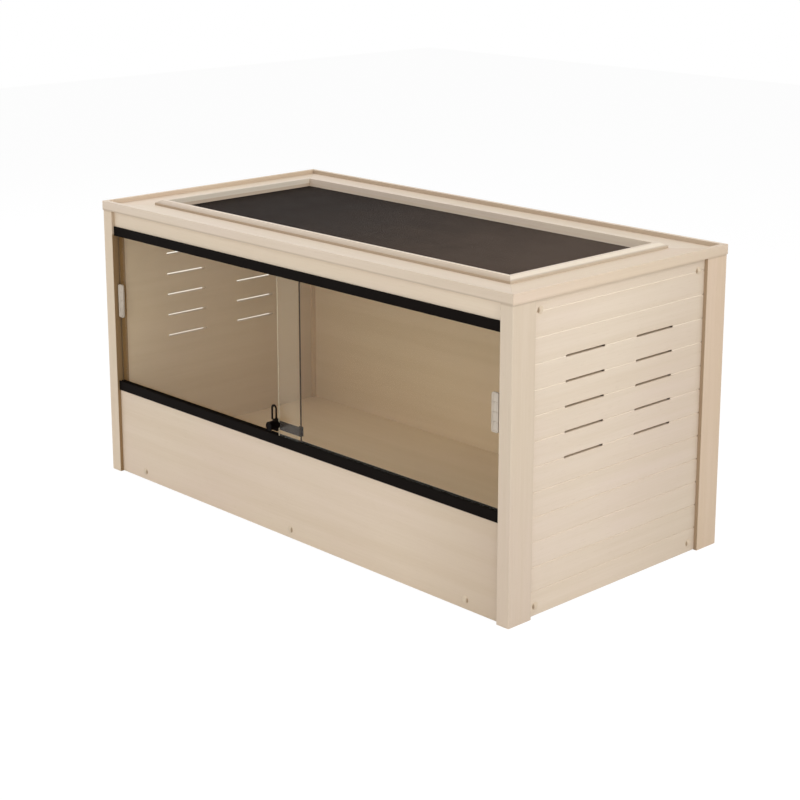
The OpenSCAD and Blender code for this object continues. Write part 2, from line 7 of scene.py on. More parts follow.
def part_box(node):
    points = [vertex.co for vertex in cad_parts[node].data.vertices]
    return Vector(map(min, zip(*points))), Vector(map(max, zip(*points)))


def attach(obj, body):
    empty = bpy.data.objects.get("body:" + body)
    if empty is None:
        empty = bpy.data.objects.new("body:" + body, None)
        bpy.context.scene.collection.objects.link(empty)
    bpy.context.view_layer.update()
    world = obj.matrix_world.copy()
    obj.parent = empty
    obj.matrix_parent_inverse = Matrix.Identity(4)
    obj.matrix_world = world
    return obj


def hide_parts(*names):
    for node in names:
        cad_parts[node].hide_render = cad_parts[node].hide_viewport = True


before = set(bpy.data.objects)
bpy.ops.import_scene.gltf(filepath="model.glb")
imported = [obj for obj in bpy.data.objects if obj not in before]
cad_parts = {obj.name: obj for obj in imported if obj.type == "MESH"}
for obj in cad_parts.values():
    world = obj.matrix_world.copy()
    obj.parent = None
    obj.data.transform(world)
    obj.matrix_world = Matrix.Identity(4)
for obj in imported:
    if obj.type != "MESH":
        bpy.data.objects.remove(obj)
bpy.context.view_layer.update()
print("frame loaded:", len(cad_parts), "nodes")


def paint(red, green, blue):
    # an 8-bit display colour as linear light
    share = np.array([red, green, blue]) / 255
    linear = np.where(share > 0.04045, ((share + 0.055) / 1.055) ** 2.4, share / 12.92)
    return tuple(float(v) for v in linear)


def darkened(colour, share):
    # a colour with only a share of its light
    return tuple(v * share for v in colour)


class Field:
    # a value that varies over a surface; arithmetic on it adds Math nodes
    def __init__(self, finish, socket):
        self.finish, self.socket = finish, socket

    def join(self, operation, first, second):
        return self.finish.add("ShaderNodeMath", {"operation": operation}, {0: first, 1: second})

    def __add__(self, other):
        return self.join("ADD", self, other)

    def __radd__(self, other):
        return self.join("ADD", other, self)

    def __sub__(self, other):
        return self.join("SUBTRACT", self, other)

    def __rsub__(self, other):
        return self.join("SUBTRACT", other, self)

    def __mul__(self, other):
        return self.join("MULTIPLY", self, other)

    def __rmul__(self, other):
        return self.join("MULTIPLY", other, self)

    def size(self):
        # the value without its sign
        return self.join("ABSOLUTE", self, 0)

    def joinVector(self, operation, other=(0, 0, 0), output=0):
        return self.finish.add("ShaderNodeVectorMath", {"operation": operation}, {0: self, 1: other}, output)

    def above(self, low, high):
        # 0 at low and under, 1 at high and over, a smooth step between
        values = {"Value": self, "From Min": low, "From Max": high}
        return self.finish.add("ShaderNodeMapRange", {"interpolation_type": "SMOOTHSTEP"}, values)


def anyRay(tree, *kinds):
    # the socket that is 1 where light follows a ray of one of these kinds, and 0 on other rays
    path = tree.nodes.new("ShaderNodeLightPath")
    level = path.outputs["Is %s Ray" % kinds[0]]
    for kind in kinds[1:]:
        larger = tree.nodes.new("ShaderNodeMath")
        larger.operation = "MAXIMUM"
        tree.links.new(level, larger.inputs[0])
        tree.links.new(path.outputs["Is %s Ray" % kind], larger.inputs[1])
        level = larger.outputs[0]
    return level


class Finish:
    # a material with one Principled shader, and short ways to add nodes to it
    def __init__(self, name, **constants):
        self.material = bpy.data.materials.new(name)
        self.material.use_nodes = True
        self.tree = self.material.node_tree
        self.tree.nodes.clear()
        self.shell = self.tree.nodes.new("ShaderNodeBsdfPrincipled")
        self.outlet = self.tree.nodes.new("ShaderNodeOutputMaterial")
        self.show(Field(self, self.shell.outputs[0]))
        for socket, value in constants.items():
            self.set(socket.replace("_", " "), value)

    def feed(self, socket, value):
        if isinstance(value, Field):
            self.tree.links.new(value.socket, socket)
        elif socket.type == "RGBA" and len(value) == 3:
            socket.default_value = (*value, 1)
        else:
            socket.default_value = value

    def set(self, name, value):
        self.feed(self.shell.inputs[name], value)

    def show(self, surface):
        self.surface = surface
        self.feed(self.outlet.inputs["Surface"], surface)

    def layOver(self, share, shader):
        # another shader over what the material shows so far, by share
        self.show(self.add("ShaderNodeMixShader", values={0: share, 1: self.surface, 2: shader}))

    def add(self, kind, settings=None, values=None, output=0):
        node = self.tree.nodes.new(kind)
        for name, value in (settings or {}).items():
            setattr(node, name, value)
        for name, value in (values or {}).items():
            self.feed(node.inputs[name], value)
        return Field(self, node.outputs[output])

    def place(self, scale=(1, 1, 1), shift=(0, 0, 0)):
        # the point on the surface, in metres, moved and then stretched
        point = self.add("ShaderNodeTexCoord", output="Object")
        return point.joinVector("ADD", shift).joinVector("MULTIPLY", scale)

    def along(self, axis):
        # the point's coordinate along an axis
        return self.add("ShaderNodeSeparateXYZ", values={0: self.place()}, output=axis)

    def away(self, axis, plane=0):
        # how far the point lies from a plane across an axis
        coordinate = self.along(axis)
        if plane:
            coordinate = coordinate - plane
        return coordinate.size()

    def noise(self, where, scale=1, detail=3, roughness=0.5, distortion=0):
        values = {"Vector": where, "Scale": scale, "Detail": detail, "Roughness": roughness,
                  "Distortion": distortion}
        return self.add("ShaderNodeTexNoise", values=values, output="Fac")

    def tint(self, share, first, second):
        # the second colour over the first, by share
        return self.add("ShaderNodeMix", {"data_type": "RGBA"}, {0: share, 6: first, 7: second}, output=2)

    def gloss(self, pattern, middle, change):
        # roughness that a pattern from 0 to 1 moves about its middle by the whole change
        self.set("Roughness", pattern * change + (middle - change / 2))

    def bump(self, height, depth, strength=0.5):
        values = {"Height": height, "Distance": depth, "Strength": strength}
        self.set("Normal", self.add("ShaderNodeBump", values=values))


wood = {
    # colours: the first four make the grain; over it lie, in order, the dark of mitre joints and painted
    # shade, painted shadow, painted light, and painted shade on a post's inner face
    "pale": paint(230, 214, 194),
    "rosy": paint(229, 211, 194),
    "deep": paint(222, 204, 181),
    "pore": paint(196, 173, 146),
    "joint": paint(150, 126, 98),
    "shadow": paint(70, 52, 36),
    "worn": paint(250, 240, 222),
    "jamb": paint(146, 116, 78),
    # grain: noise cells per metre, and stretches of them for the slow bands and for the pores,
    # which are finer along the grain (first) and across it
    "acrossGrain": 260,
    "alongGrain": 7,
    "bandStretch": 0.12,
    "poreStretch": (6.0, 2.2),
    "blushCells": 3.1,
    # where in its noise a colour starts and is full, and how much of it shows
    "poreRange": (0.63, 0.72),
    "poreShare": 0.16,
    "blushRange": (0.35, 0.7),
    "deepRange": (0.4, 0.95),
    "deepShare": 0.85,
    "streakPart": 0.5,
    "bandPart": 0.8,
    # relief in metres, the parts of it that streaks, pores and seams have, and the gloss
    "relief": 0.0001,
    "streakRelief": 0.7,
    "poreRelief": 0.6,
    "seamRelief": 0.4,
    "roughness": 0.48,
    "roughnessChange": 0.16,
    # lines where pieces meet, in metres from the line, and how dark they are: the mitre seams are dark
    # joints, and the lines under the cap, at the corner and on inner faces are painted shade, except the
    # painted light on the screen frame's inner faces
    "seam": (0.0004, 0.0008),
    "seamShare": 0.15,
    "jointLine": (0.000675, 0.0045),
    "cornerLine": (0.001, 0.003),
    "cornerInset": 0.0015,
    "innerEdge": (0.0002, 0.001),
    "innerFall": 0.006,
    "innerLoss": 0.67,
}
boards = {
    "height": 0.0475,
    "jump": {"X": 37.3, "Y": 11.7, "Z": 5.1},  # in noise cells from one board to the next
    # the middle of a groove in shares of a board's height, and its ends at |y|, which get painted shade
    "grooveMiddle": (0.02, 0.05),
    "grooveEnd": (0.2405, 0.2425),
    "grooveEndShare": 0.7,
    # metres under the outer face where grooves lie, and where the painted light on their lips begins, is
    # full and ends
    "grooveDepths": (0.003, 0.001),
    "wornDepths": (0.0016, 0.0013, 0.0006, 0),
    "wornHeights": (0.2, 0.5),
    "wornShare": 0.4,
    # painted shade on the slot walls: metres from the inner face and under the outer face, and the places of
    # their ends, which get painted shadow
    "slotInside": 0.0008,
    "slotOutside": (0.0025, 0.0015),
    "slotShare": 0.4,
    "slotEnds": (0.045, 0.153),
    "slotEndEdge": (0.0025, 0.005),
    "slotEndShare": 0.8,
}
moulding = {
    # metres outside the frame's inner corner: the slope's top and foot, and the width of soft edges
    "top": 0.0088,
    "topEdge": 0.0008,
    "foot": 0.0205,
    "stepEdge": 0.0006,
}


def planCorners(front, right):
    # the outer and the inner corner of a mitred frame in plan, from its front and its right piece
    frontBox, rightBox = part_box(front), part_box(right)
    return (rightBox[1][0], -frontBox[0][1]), (rightBox[0][0], -frontBox[1][1])


corners = {
    "rail": planCorners("cap_rail_front", "cap_rail_right"),
    "board": planCorners("top_board_front", "top_board_right"),
    "frame": planCorners("screen_frame_front", "screen_frame_right"),
}
frameInner = corners["frame"][1]
panelBack, panelFace = (corner[0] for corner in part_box("right_side_panel"))
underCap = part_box("cap_rail_front")[0][2]
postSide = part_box("post_front_right")[0][0]
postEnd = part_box("post_rear_right")[0][1]
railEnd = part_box("cap_rail_rear")[0][1]
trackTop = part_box("upper_track")[0][2]


def mitreSeam(finish, outer, inner):
    # 1 on the mitre line from an outer to an inner corner of the plan, 0 a little beside it:
    # the distance of (|x|, |y|) to the line through both corners
    run, rise = outer[0] - inner[0], outer[1] - inner[1]
    across = (rise / math.hypot(run, rise), -run / math.hypot(run, rise), 0)
    fromOuter = finish.place().joinVector("ABSOLUTE").joinVector("SUBTRACT", (*outer, 0))
    off = fromOuter.joinVector("DOT_PRODUCT", across, "Value").size()
    return 1 - off.above(*wood["seam"])


def underCapShadow(finish, height):
    # painted shade under the cap: 1 at the given height, where one board meets the next, and 0 a little
    # above and below
    return 1 - finish.away("Z", height).above(*wood["jointLine"])


def cornerShade(finish):
    # painted shade: 1 on a line where the board meets the right posts
    return 1 - finish.away("X", postSide - wood["cornerInset"]).above(*wood["cornerLine"])


def innerShade(finish, axis, plane, below=1):
    # painted shade, and with a pale colour painted light: 1 on the faces at |axis| = plane, where another
    # board or a pane meets the wood, and 0 just outside; above a height it falls to a third
    low, high = wood["innerEdge"]
    share = 1 - finish.away(axis).above(plane + low, plane + high)
    return share * (1 - finish.along("Z").above(below, below + wood["innerFall"]) * wood["innerLoss"])


def slopeShades(finish, start, step, deepen, lift=0):
    # a moulding's slope in plan: reach is how far (|x|, |y|) lies outside the frame's inner corner;
    # the slope gets painted light by lift, and painted shade that rises by step at start and by deepen from
    # there to its foot
    out = finish.away("X") - frameInner[0]
    beside = finish.away("Y") - frameInner[1]
    reach = out.join("MAXIMUM", out, beside)
    stepped = reach.above(start, start + moulding["stepEdge"]) * step
    deepened = reach.above(start, moulding["foot"]) * deepen
    paler = reach.above(moulding["top"], moulding["top"] + moulding["topEdge"]) * lift
    return [(paler, "worn"), (stepped + deepened, "joint")]


def slotShade(finish):
    # painted shade: 1 on the walls of the right panel's vent slots, which get least light, and 0 in its
    # grooves
    depth = finish.along("X")
    inside = depth.above(panelBack, panelBack + boards["slotInside"])
    low, high = boards["slotOutside"]
    return inside - depth.above(panelFace - low, panelFace - high)


def slotEndShade(finish):
    # painted shadow: 1 at both ends of every vent slot
    shade = 0
    for end in boards["slotEnds"]:
        shade = shade + (1 - (finish.away("Y") - end).size().above(*boards["slotEndEdge"]))
    return shade


def litGrooveLips(finish):
    # painted light: 1 in the upper grooves of the side boards, where the light catches their lips
    depth = finish.away("X")
    bottom, lower, upper, lip = (panelFace - under for under in boards["wornDepths"])
    groove = depth.above(bottom, lower) - depth.above(upper, lip)
    return groove * finish.along("Z").above(*boards["wornHeights"])


def grooveEndShade(finish, share):
    # painted shade: 1 in both ends of every groove; share is the height in boards, a whole number in each
    # groove
    low, high = (panelFace - under for under in boards["grooveDepths"])
    middle = 1 - share.join("PINGPONG", share, 0.5).above(*boards["grooveMiddle"])
    return middle * finish.away("Y").above(*boards["grooveEnd"]) * finish.away("X").above(low, high)


def woodFinish(name, grain, shift=(0, 0, 0), shade=(1, 1, 1), grooved=False, mitre=None, joint=None,
               slope=None, inner=None, paintedFalloff=None, corner=None):
    # fine satin wood: long streaks, slow bands and short pores, all drawn out along the grain axis;
    # shade tints each group's wood, partly its own tone and partly painted light and shade;
    # the shares at the cap's underside and the corner are painted shade, the falloff is an axis, two places
    # and a share of painted shade, and inner is an axis, a plane, a share, a colour, dark for painted shade
    # and pale for painted light, and, for a face under a track, the track's underside
    finish = Finish(name, IOR=1.46, Specular_IOR_Level=0.35)
    stretch = [wood["acrossGrain"]] * 3
    stretch["XYZ".index(grain)] = wood["alongGrain"]
    where = finish.place(tuple(stretch), shift)
    shades = []
    if paintedFalloff:
        # painted shade: slowly darker along an axis, between two places
        shades.append((finish.along(paintedFalloff[0]).above(*paintedFalloff[1:3]) * paintedFalloff[3], "joint"))
    if grooved:
        # each grooved board is cut from another place in the plank; the groove ends and slot walls get
        # painted shade, the slot ends painted shadow and the upper groove lips painted light
        share = finish.along("Z") * (1 / boards["height"])
        board = finish.add("ShaderNodeMath", {"operation": "FLOOR"}, {0: share})
        jump = {axis: board * cells for axis, cells in boards["jump"].items()}
        where = where.joinVector("ADD", finish.add("ShaderNodeCombineXYZ", values=jump))
        slots = slotShade(finish)
        shades += [(grooveEndShade(finish, share) * boards["grooveEndShare"], "joint"),
                   (litGrooveLips(finish) * boards["wornShare"], "worn"),
                   (slots * boards["slotShare"], "joint"),
                   (slots * slotEndShade(finish) * boards["slotEndShare"], "shadow")]
    streaks = finish.noise(where, 1.0, 4, 0.62)
    bands = finish.noise(where.joinVector("MULTIPLY", (wood["bandStretch"],) * 3), 1.0, 3, 0.5, 0.6)
    fine = tuple(wood["poreStretch"][0 if axis == grain else 1] for axis in "XYZ")
    pores = finish.noise(where.joinVector("MULTIPLY", fine), 1.0, 2).above(*wood["poreRange"])
    blush = finish.noise(finish.place((wood["blushCells"],) * 3, shift), 1.0, 2).above(*wood["blushRange"])
    depth = (streaks * wood["streakPart"] + bands * wood["bandPart"]).above(*wood["deepRange"])
    pale, deep, rosy, pore = (tuple(np.multiply(wood[k], shade)) for k in ("pale", "deep", "rosy", "pore"))
    colour = finish.tint(depth * wood["deepShare"], finish.tint(blush, pale, rosy), deep)
    colour = finish.tint(pores * wood["poreShare"], colour, pore)
    height = streaks * wood["streakRelief"] - pores * wood["poreRelief"]
    if mitre:
        seam = mitreSeam(finish, *mitre)
        shades.append((seam * wood["seamShare"], "joint"))
        height = height - seam * wood["seamRelief"]
    # painted shade in a line under the cap and along the right posts
    if joint:
        shades.append((underCapShadow(finish, underCap) * joint, "joint"))
    if corner:
        shades.append((cornerShade(finish) * corner, "joint"))
    if slope:
        shades += slopeShades(finish, **slope)
    # painted shade on inner faces, and painted light where the colour is pale
    if inner:
        axis, plane, share, hue, *below = inner
        shades.append((innerShade(finish, axis, plane, *below) * share, hue))
    for share, hue in shades:
        colour = finish.tint(share, colour, wood[hue])
    finish.set("Base Color", colour)
    finish.gloss(streaks, wood["roughness"], wood["roughnessChange"])
    finish.bump(height, wood["relief"])
    return finish.material


plasticLook = {"patchCells": 22, "patchRange": (0.3, 0.8), "darker": 0.82, "roughnessChange": 0.14}


def plasticFinish(name, colour, roughness=0.4, grainSize=1800, depth=0.00003, **constants):
    # moulded plastic: a fine even grain in the surface and faint wear in the gloss
    finish = Finish(name, **constants)
    grain = finish.noise(finish.place(), grainSize, 2)
    patches = finish.noise(finish.place(), plasticLook["patchCells"], 3)
    worn = patches.above(*plasticLook["patchRange"])
    finish.set("Base Color", finish.tint(worn, colour, darkened(colour, plasticLook["darker"])))
    finish.gloss(patches, roughness, plasticLook["roughnessChange"])
    finish.bump(grain, depth)
    return finish.material


coverLook = {
    "pale": paint(224, 206, 182),
    "deep": paint(214, 195, 170),
    "patchCells": 60,
    "roughness": 0.42,
    "roughnessChange": 0.1,
    "darkSide": (1, -1, 0),
    "darkRange": (1.1, 1.3),
    "darkShare": 0.95,
}


def coverFinish():
    # a domed cap of wood-coloured plastic, with painted shade on the side of its dome that turns to the
    # front right corner of the cabinet
    finish = Finish("wood-coloured plastic", Specular_IOR_Level=0.35)
    patches = finish.noise(finish.place(), coverLook["patchCells"], 3)
    facing = finish.add("ShaderNodeNewGeometry", output="Normal")
    turned = facing.joinVector("DOT_PRODUCT", coverLook["darkSide"], "Value")
    colour = finish.tint(patches, coverLook["pale"], coverLook["deep"])
    # painted shade on the side of the dome that turns to the front right corner
    dark = turned.above(*coverLook["darkRange"]) * coverLook["darkShare"]
    finish.set("Base Color", finish.tint(dark, colour, wood["joint"]))
    finish.gloss(patches, coverLook["roughness"], coverLook["roughnessChange"])
    return finish.material


metalLook = {"brush": (900, 900, 60), "darker": 0.75, "roughnessChange": 0.2, "depth": 0.00002}


def metalFinish(name, colour, roughness):
    # metal with fine brush marks
    finish = Finish(name, Metallic=1.0)
    marks = finish.noise(finish.place(metalLook["brush"]), 1.0, 3, 0.6)
    finish.set("Base Color", finish.tint(marks, colour, darkened(colour, metalLook["darker"])))
    finish.gloss(marks, roughness, metalLook["roughnessChange"])
    finish.bump(marks, metalLook["depth"], 0.4)
    return finish.material


glassLook = {
    "tint": (0.99, 0.95, 0.84),
    "lampTint": (1.0, 0.98, 0.91),
    "index": 1.22,
    "hazeCells": 2.5,
    "hazeRange": (0.3, 0.8),
    "darker": 0.97,
    "darkEdge": paint(56, 32, 8),
    "paleEdge": paint(214, 200, 176),
    "jambEdge": paint(112, 90, 60),
    "overlap": (0.031, 0.032),
    "dust": 0.021,
    "dustColour": (0.9, 0.9, 0.9),
}


def glassFinish():
    # tinted float glass, which lets lamps and bounced light straight through to what is behind it
    finish = Finish("tinted glass", IOR=glassLook["index"], Transmission_Weight=1.0)
    haze = finish.noise(finish.place(), glassLook["hazeCells"], 2).above(*glassLook["hazeRange"])
    tint = glassLook["tint"]
    finish.set("Base Color", finish.tint(haze, tint, darkened(tint, glassLook["darker"])))
    finish.set("Roughness", 0.0)
    # where one pane lies behind the other no cloth reaches the dust
    dusty = (1 - finish.away("X").above(*glassLook["overlap"])) * glassLook["dust"]
    finish.layOver(dusty, finish.add("ShaderNodeBsdfDiffuse", values={"Color": glassLook["dustColour"]}))
    clear = finish.add("ShaderNodeBsdfTransparent", values={"Color": glassLook["lampTint"]})
    finish.layOver(Field(finish, anyRay(finish.tree, "Shadow", "Diffuse")), clear)
    return finish.material


wireLook = {
    "black": paint(50, 42, 38),
    # dusty is the colour of the dust and of the painted light towards the right end
    "dusty": paint(106, 93, 84),
    "dustCells": 14,
    "dustShare": 0.25,
    "dustAndLightRange": (-0.25, 0.75),
    "roughness": 0.52,
    "roughnessChange": 0.2,
}


def wireFinish():
    # black-coated wire with patches of dust, and painted light that makes it paler towards the right end
    finish = Finish("screen wire", Specular_IOR_Level=0.05)
    dust = finish.noise(finish.place(), wireLook["dustCells"], 4)
    dustAndLight = (dust * wireLook["dustShare"] + finish.along("X")).above(*wireLook["dustAndLightRange"])
    finish.set("Base Color", finish.tint(dustAndLight, wireLook["black"], wireLook["dusty"]))
    finish.gloss(dust, wireLook["roughness"], wireLook["roughnessChange"])
    return finish.material


# share of the painted shade line under the cap
capShade = 0.36
# painted shade on the screen frame's slopes, with painted light on the short pieces' slopes
frontSlope = {"start": 0.0088, "step": 0.34, "deepen": 0.3}
endSlope = {"start": 0.0155, "step": 0.0, "deepen": 0.5, "lift": 0.5}
# each group's shade tints the same wood, partly its own tone and partly painted light and shade, as in the
# paler floor, back panel, top rail and left front post
finishes = {
    "post": woodFinish("post wood", "Z", shift=(0.3, 0.1, 0.0), shade=(0.9, 0.885, 0.86), joint=capShade,
                       inner=("X", postSide, 0.95, "joint")),
    "leftPost": woodFinish("left post wood", "Z", shift=(2.2, 0.1, 0.5), shade=(1.0, 0.98, 0.94),
                           joint=capShade, inner=("X", postSide, 0.95, "jamb", trackTop)),
    "rearPost": woodFinish("rear post wood", "Z", shift=(1.6, 0.4, 0.0), shade=(0.91, 0.845, 0.775),
                           joint=capShade, inner=("Y", postEnd, 0.8, "joint")),
    "topRail": woodFinish("top rail wood", "X", shift=(0.4, 0.7, 0.2), shade=(1.05, 1.05, 1.03),
                          joint=capShade),
    "panel": woodFinish("front panel wood", "X", shift=(0.0, 0.2, 0.5), shade=(1.0, 0.98, 0.95),
                        paintedFalloff=("X", 0.25, 0.66, 0.38)),
    "back": woodFinish("back panel wood", "X", shift=(0.8, 0.9, 0.3), shade=(1.06, 1.06, 1.05),
                       joint=capShade, paintedFalloff=("X", 0.15, 0.6, 0.17), corner=0.6),
    "side": woodFinish("side panel wood", "Y", shift=(0.1, 0.0, 0.0), grooved=True, joint=0.18,
                       paintedFalloff=("Y", -0.1, 0.25, 0.15)),
    "railX": woodFinish("cap wood along X", "X", shift=(1.3, 0.0, 0.7), mitre=corners["rail"],
                        joint=capShade, paintedFalloff=("X", 0.1, 0.62, 0.12)),
    "rearRail": woodFinish("rear cap wood", "X", shift=(1.3, 0.0, 0.7), mitre=corners["rail"],
                           joint=capShade, inner=("Y", railEnd, 0.57, "joint")),
    "railY": woodFinish("cap wood along Y", "Y", shift=(0.0, 1.1, 0.4), shade=(0.98, 0.95, 0.91),
                        mitre=corners["rail"], joint=0.14, paintedFalloff=("Y", -0.1, 0.3, 0.14)),
    "boardX": woodFinish("top wood along X", "X", shift=(2.3, 0.6, 0.2), mitre=corners["board"]),
    "boardY": woodFinish("top wood along Y", "Y", shift=(0.7, 2.1, 0.1), shade=(1.0, 0.98, 0.95),
                         mitre=corners["board"], paintedFalloff=("Y", -0.1, 0.3, 0.09)),
    "frameX": woodFinish("frame wood along X", "X", shift=(3.1, 0.2, 0.9), mitre=corners["frame"],
                         slope=frontSlope),
    "frameY": woodFinish("frame wood along Y", "Y", shift=(0.4, 3.3, 0.6), mitre=corners["frame"],
                         slope=endSlope, inner=("X", frameInner[0], 0.7, "worn")),
    "floor": woodFinish("floor wood", "X", shift=(4.2, 0.3, 0.1), shade=(1.19, 1.19, 1.15),
                        paintedFalloff=("X", -0.45, 0.25, 0.2)),
    "batten": woodFinish("batten wood", "X", shift=(5.2, 0.8, 0.3)),
    "track": plasticFinish("black track plastic", paint(17, 12, 9), 0.55, Specular_IOR_Level=0.035),
    "lock": plasticFinish("black lock", paint(9, 5, 4), 0.45, 900, Specular_IOR_Level=0.04),
    "bar": plasticFinish("dark ratchet steel", paint(42, 28, 17), 0.5, 700, Specular_IOR_Level=0.03),
    "key": plasticFinish("black key plastic", paint(28, 20, 12), 0.5, Specular_IOR_Level=0.04),
    "handle": plasticFinish("pale handle plastic", paint(205, 193, 177), 0.32, 1400, Specular_IOR_Level=0.4),
    "pad": plasticFinish("grey foam tape", paint(96, 92, 86), 0.8),
    "cover": coverFinish(),
    "plug": metalFinish("blackened plug steel", paint(52, 42, 34), 0.4),
    "screw": metalFinish("zinc plated steel", paint(190, 190, 192), 0.38),
    "glass": glassFinish(),
    "darkEdge": plasticFinish("ground glass edge", glassLook["darkEdge"], 0.4, 600, Specular_IOR_Level=0.06),
    "paleEdge": plasticFinish("polished glass edge", glassLook["paleEdge"], 0.2, 600),
    "jambEdge": plasticFinish("glass edge by the post", glassLook["jambEdge"], 0.4, 600),
    "wire": wireFinish(),
}
print("finishes made:", len(finishes))


def finishFor(node):
    # which finish a CAD node wears
    lengthways = "X" if node.endswith(("_front", "_rear")) else "Y"
    starts = {"post_front_left": "leftPost", "post_front": "post", "post_rear": "rearPost",
              "cap_rail_rear": "rearRail", "cap_rail": "rail" + lengthways,
              "top_board": "board" + lengthways, "screen_frame": "frame" + lengthways,
              "floor_batten": "batten", "top_batten": "batten"}
    for start, name in starts.items():
        if node.startswith(start):
            return name
    ends = {"side_panel": "side", "screw_covers": "cover", "screws": "screw", "handle_pad": "pad",
            "handle": "handle", "glass": "glass", "track": "track"}
    for end, name in ends.items():
        if node.endswith(end):
            return name
    return {"kick_panel": "panel", "front_top_rail": "topRail", "back_panel": "back", "floor_panel": "floor",
            "screen_retainers": "batten", "mesh_screen": "wire", "ratchet_bar": "bar",
            "lock_barrel": "lock", "lock_plug": "plug", "door_key": "key"}[node]


for node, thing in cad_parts.items():
    thing.data.materials.clear()
    thing.data.materials.append(finishes[finishFor(node)])
print("CAD nodes dressed")


def newPiece(name, points, faces, finishNames, faceFinish=None, smooth=True):
    # an object at the origin; faceFinish gives each face the number of its finish
    mesh = bpy.data.meshes.new(name)
    mesh.from_pydata(np.asarray(points).tolist(), [], faces)
    mesh.polygons.foreach_set("use_smooth", [smooth] * len(mesh.polygons))
    for finishName in finishNames:
        mesh.materials.append(finishes[finishName])
    if faceFinish is not None:
        mesh.polygons.foreach_set("material_index", np.asarray(faceFinish, int).tolist())
    mesh.update()
    piece = bpy.data.objects.new(name, mesh)
    bpy.context.scene.collection.objects.link(piece)
    return piece


def stackFaces(rings, around, capped=True):
    # faces of a tube of rings that turn right-handed about the way they are stacked, and flat ends
    ring, step = np.meshgrid(np.arange(rings - 1), np.arange(around), indexing="ij")
    first = ring * around + step
    second = ring * around + (step + 1) % around
    quads = np.stack([first, second, second + around, first + around], -1).reshape(-1, 4).tolist()
    if capped:
        quads.append(list(range(around))[::-1])
        quads.append(list(range((rings - 1) * around, rings * around)))
    return quads


def joined(parts):
    # several closed surfaces, each its points and its faces, as one
    starts = np.cumsum([0] + [len(points) for points, faces in parts])
    shifted = [[start + corner for corner in face] for start, part in zip(starts, parts) for face in part[1]]
    return np.concatenate([points for points, faces in parts]), shifted


screenLook = {
    "pitch": 0.0026,
    "wire": 0.0009,
    "sides": 6,
    "layerGap": 0.9,  # between the axes of the two layers, in wire thicknesses
}


def wireScreen():
    # straight round wires in two layers, pressed into each other a little where they cross:
    # each wire is a ring of points at both of its ends
    low, high = (np.array(corner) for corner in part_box("mesh_screen"))
    middle = (low[2] + high[2]) / 2
    radius = screenLook["wire"] / 2
    turn = np.arange(screenLook["sides"]) * 2 * math.pi / screenLook["sides"]
    across, up = radius * np.cos(turn), radius * np.sin(turn)
    points, faces = [], []
    for axis, side in ((0, 1), (1, -1)):
        other = 1 - axis
        reach = high[other] - low[other] - 2 * radius
        count = int(reach / screenLook["pitch"]) + 1
        spots = np.linspace(low[other] + radius, high[other] - radius, count)
        wires = np.zeros((count, 2, len(turn), 3))
        wires[..., axis] = np.array([low[axis], high[axis]])[None, :, None]
        wires[..., other] = spots[:, None, None] + side * across
        wires[..., 2] = middle + side * radius * screenLook["layerGap"] + up
        tube = np.array(stackFaces(2, len(turn), False))
        starts = sum(len(layer) for layer in points) + np.arange(count) * 2 * len(turn)
        faces += (tube[None] + starts[:, None, None]).reshape(-1, 4).tolist()
        ends = np.array([np.arange(len(turn))[::-1], np.arange(len(turn)) + len(turn)])
        faces += (ends[None] + starts[:, None, None]).reshape(-1, len(turn)).tolist()
        points.append(wires.reshape(-1, 3))
    piece = newPiece("wire_screen", np.concatenate(points), faces, ["wire"])
    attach(piece, "cabinet")
    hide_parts("mesh_screen")


paneLook = {"arris": 0.0015, "leftSide": 0, "rightSide": 2}


def glassPane(name, node, body, edge, jamb):
    # a pane with a small arris all round: four rectangles from face to face, the outer two drawn in;
    # its sides are numbered left, top, right and bottom, and jamb is the one by the post
    low, high = (np.array(corner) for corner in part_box(node))
    arris = paneLook["arris"]
    inset = np.array([arris, 0, 0, arris])[:, None]
    rings = np.zeros((4, 4, 3))
    rings[..., 0] = np.where([False, False, True, True], high[0] - inset, low[0] + inset)
    rings[..., 1] = np.array([low[1], low[1] + arris, high[1] - arris, high[1]])[:, None]
    rings[..., 2] = np.where([False, True, True, False], high[2] - inset, low[2] + inset)
    points = rings.reshape(-1, 3)
    kinds = [2 if side == jamb else 1 for side in range(4)] * 3 + [0, 0]
    piece = newPiece(name, points, stackFaces(4, 4), ["glass", edge, "jambEdge"], kinds, False)
    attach(piece, body)
    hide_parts(node)


def roundedRing(halfWide, halfHigh, radius, steps):
    # a rectangle whose corners are quarter circles: at angle a, in the quarter of corner (u, v),
    # the point is (u * (halfWide - radius) + radius * cos a, v * (halfHigh - radius) + radius * sin a)
    quarter = np.repeat(np.arange(4), steps + 1)
    angle = (quarter + np.tile(np.arange(steps + 1) / steps, 4)) * math.pi / 2
    side = np.array([[1, 1], [-1, 1], [-1, -1], [1, -1]])[quarter]
    inner = np.array([halfWide - radius, halfHigh - radius])
    return side * inner + radius * np.stack([np.cos(angle), np.sin(angle)], -1)


handleLook = {
    "corner": 0.0042,
    "leastRadius": 0.0006,
    "cornerSteps": 5,
    # inset from the outline and height over the back, in metres, from the back edge to the floor
    "profile": [(0.0003, 0), (0, 0.0004), (0, 0.0034), (0.0003, 0.0043), (0.0008, 0.0048), (0.0013, 0.005),
                (0.0018, 0.0048), (0.0022, 0.0043), (0.0025, 0.0036), (0.0028, 0.0026), (0.0034, 0.0021),
                (0.0044, 0.002)],
    "ribs": (-0.018, 0, 0.018),
    "ribAxis": 0.0019,
    "ribWide": 0.0022,
    "ribHigh": 0.0016,
    "ribSides": 16,
}


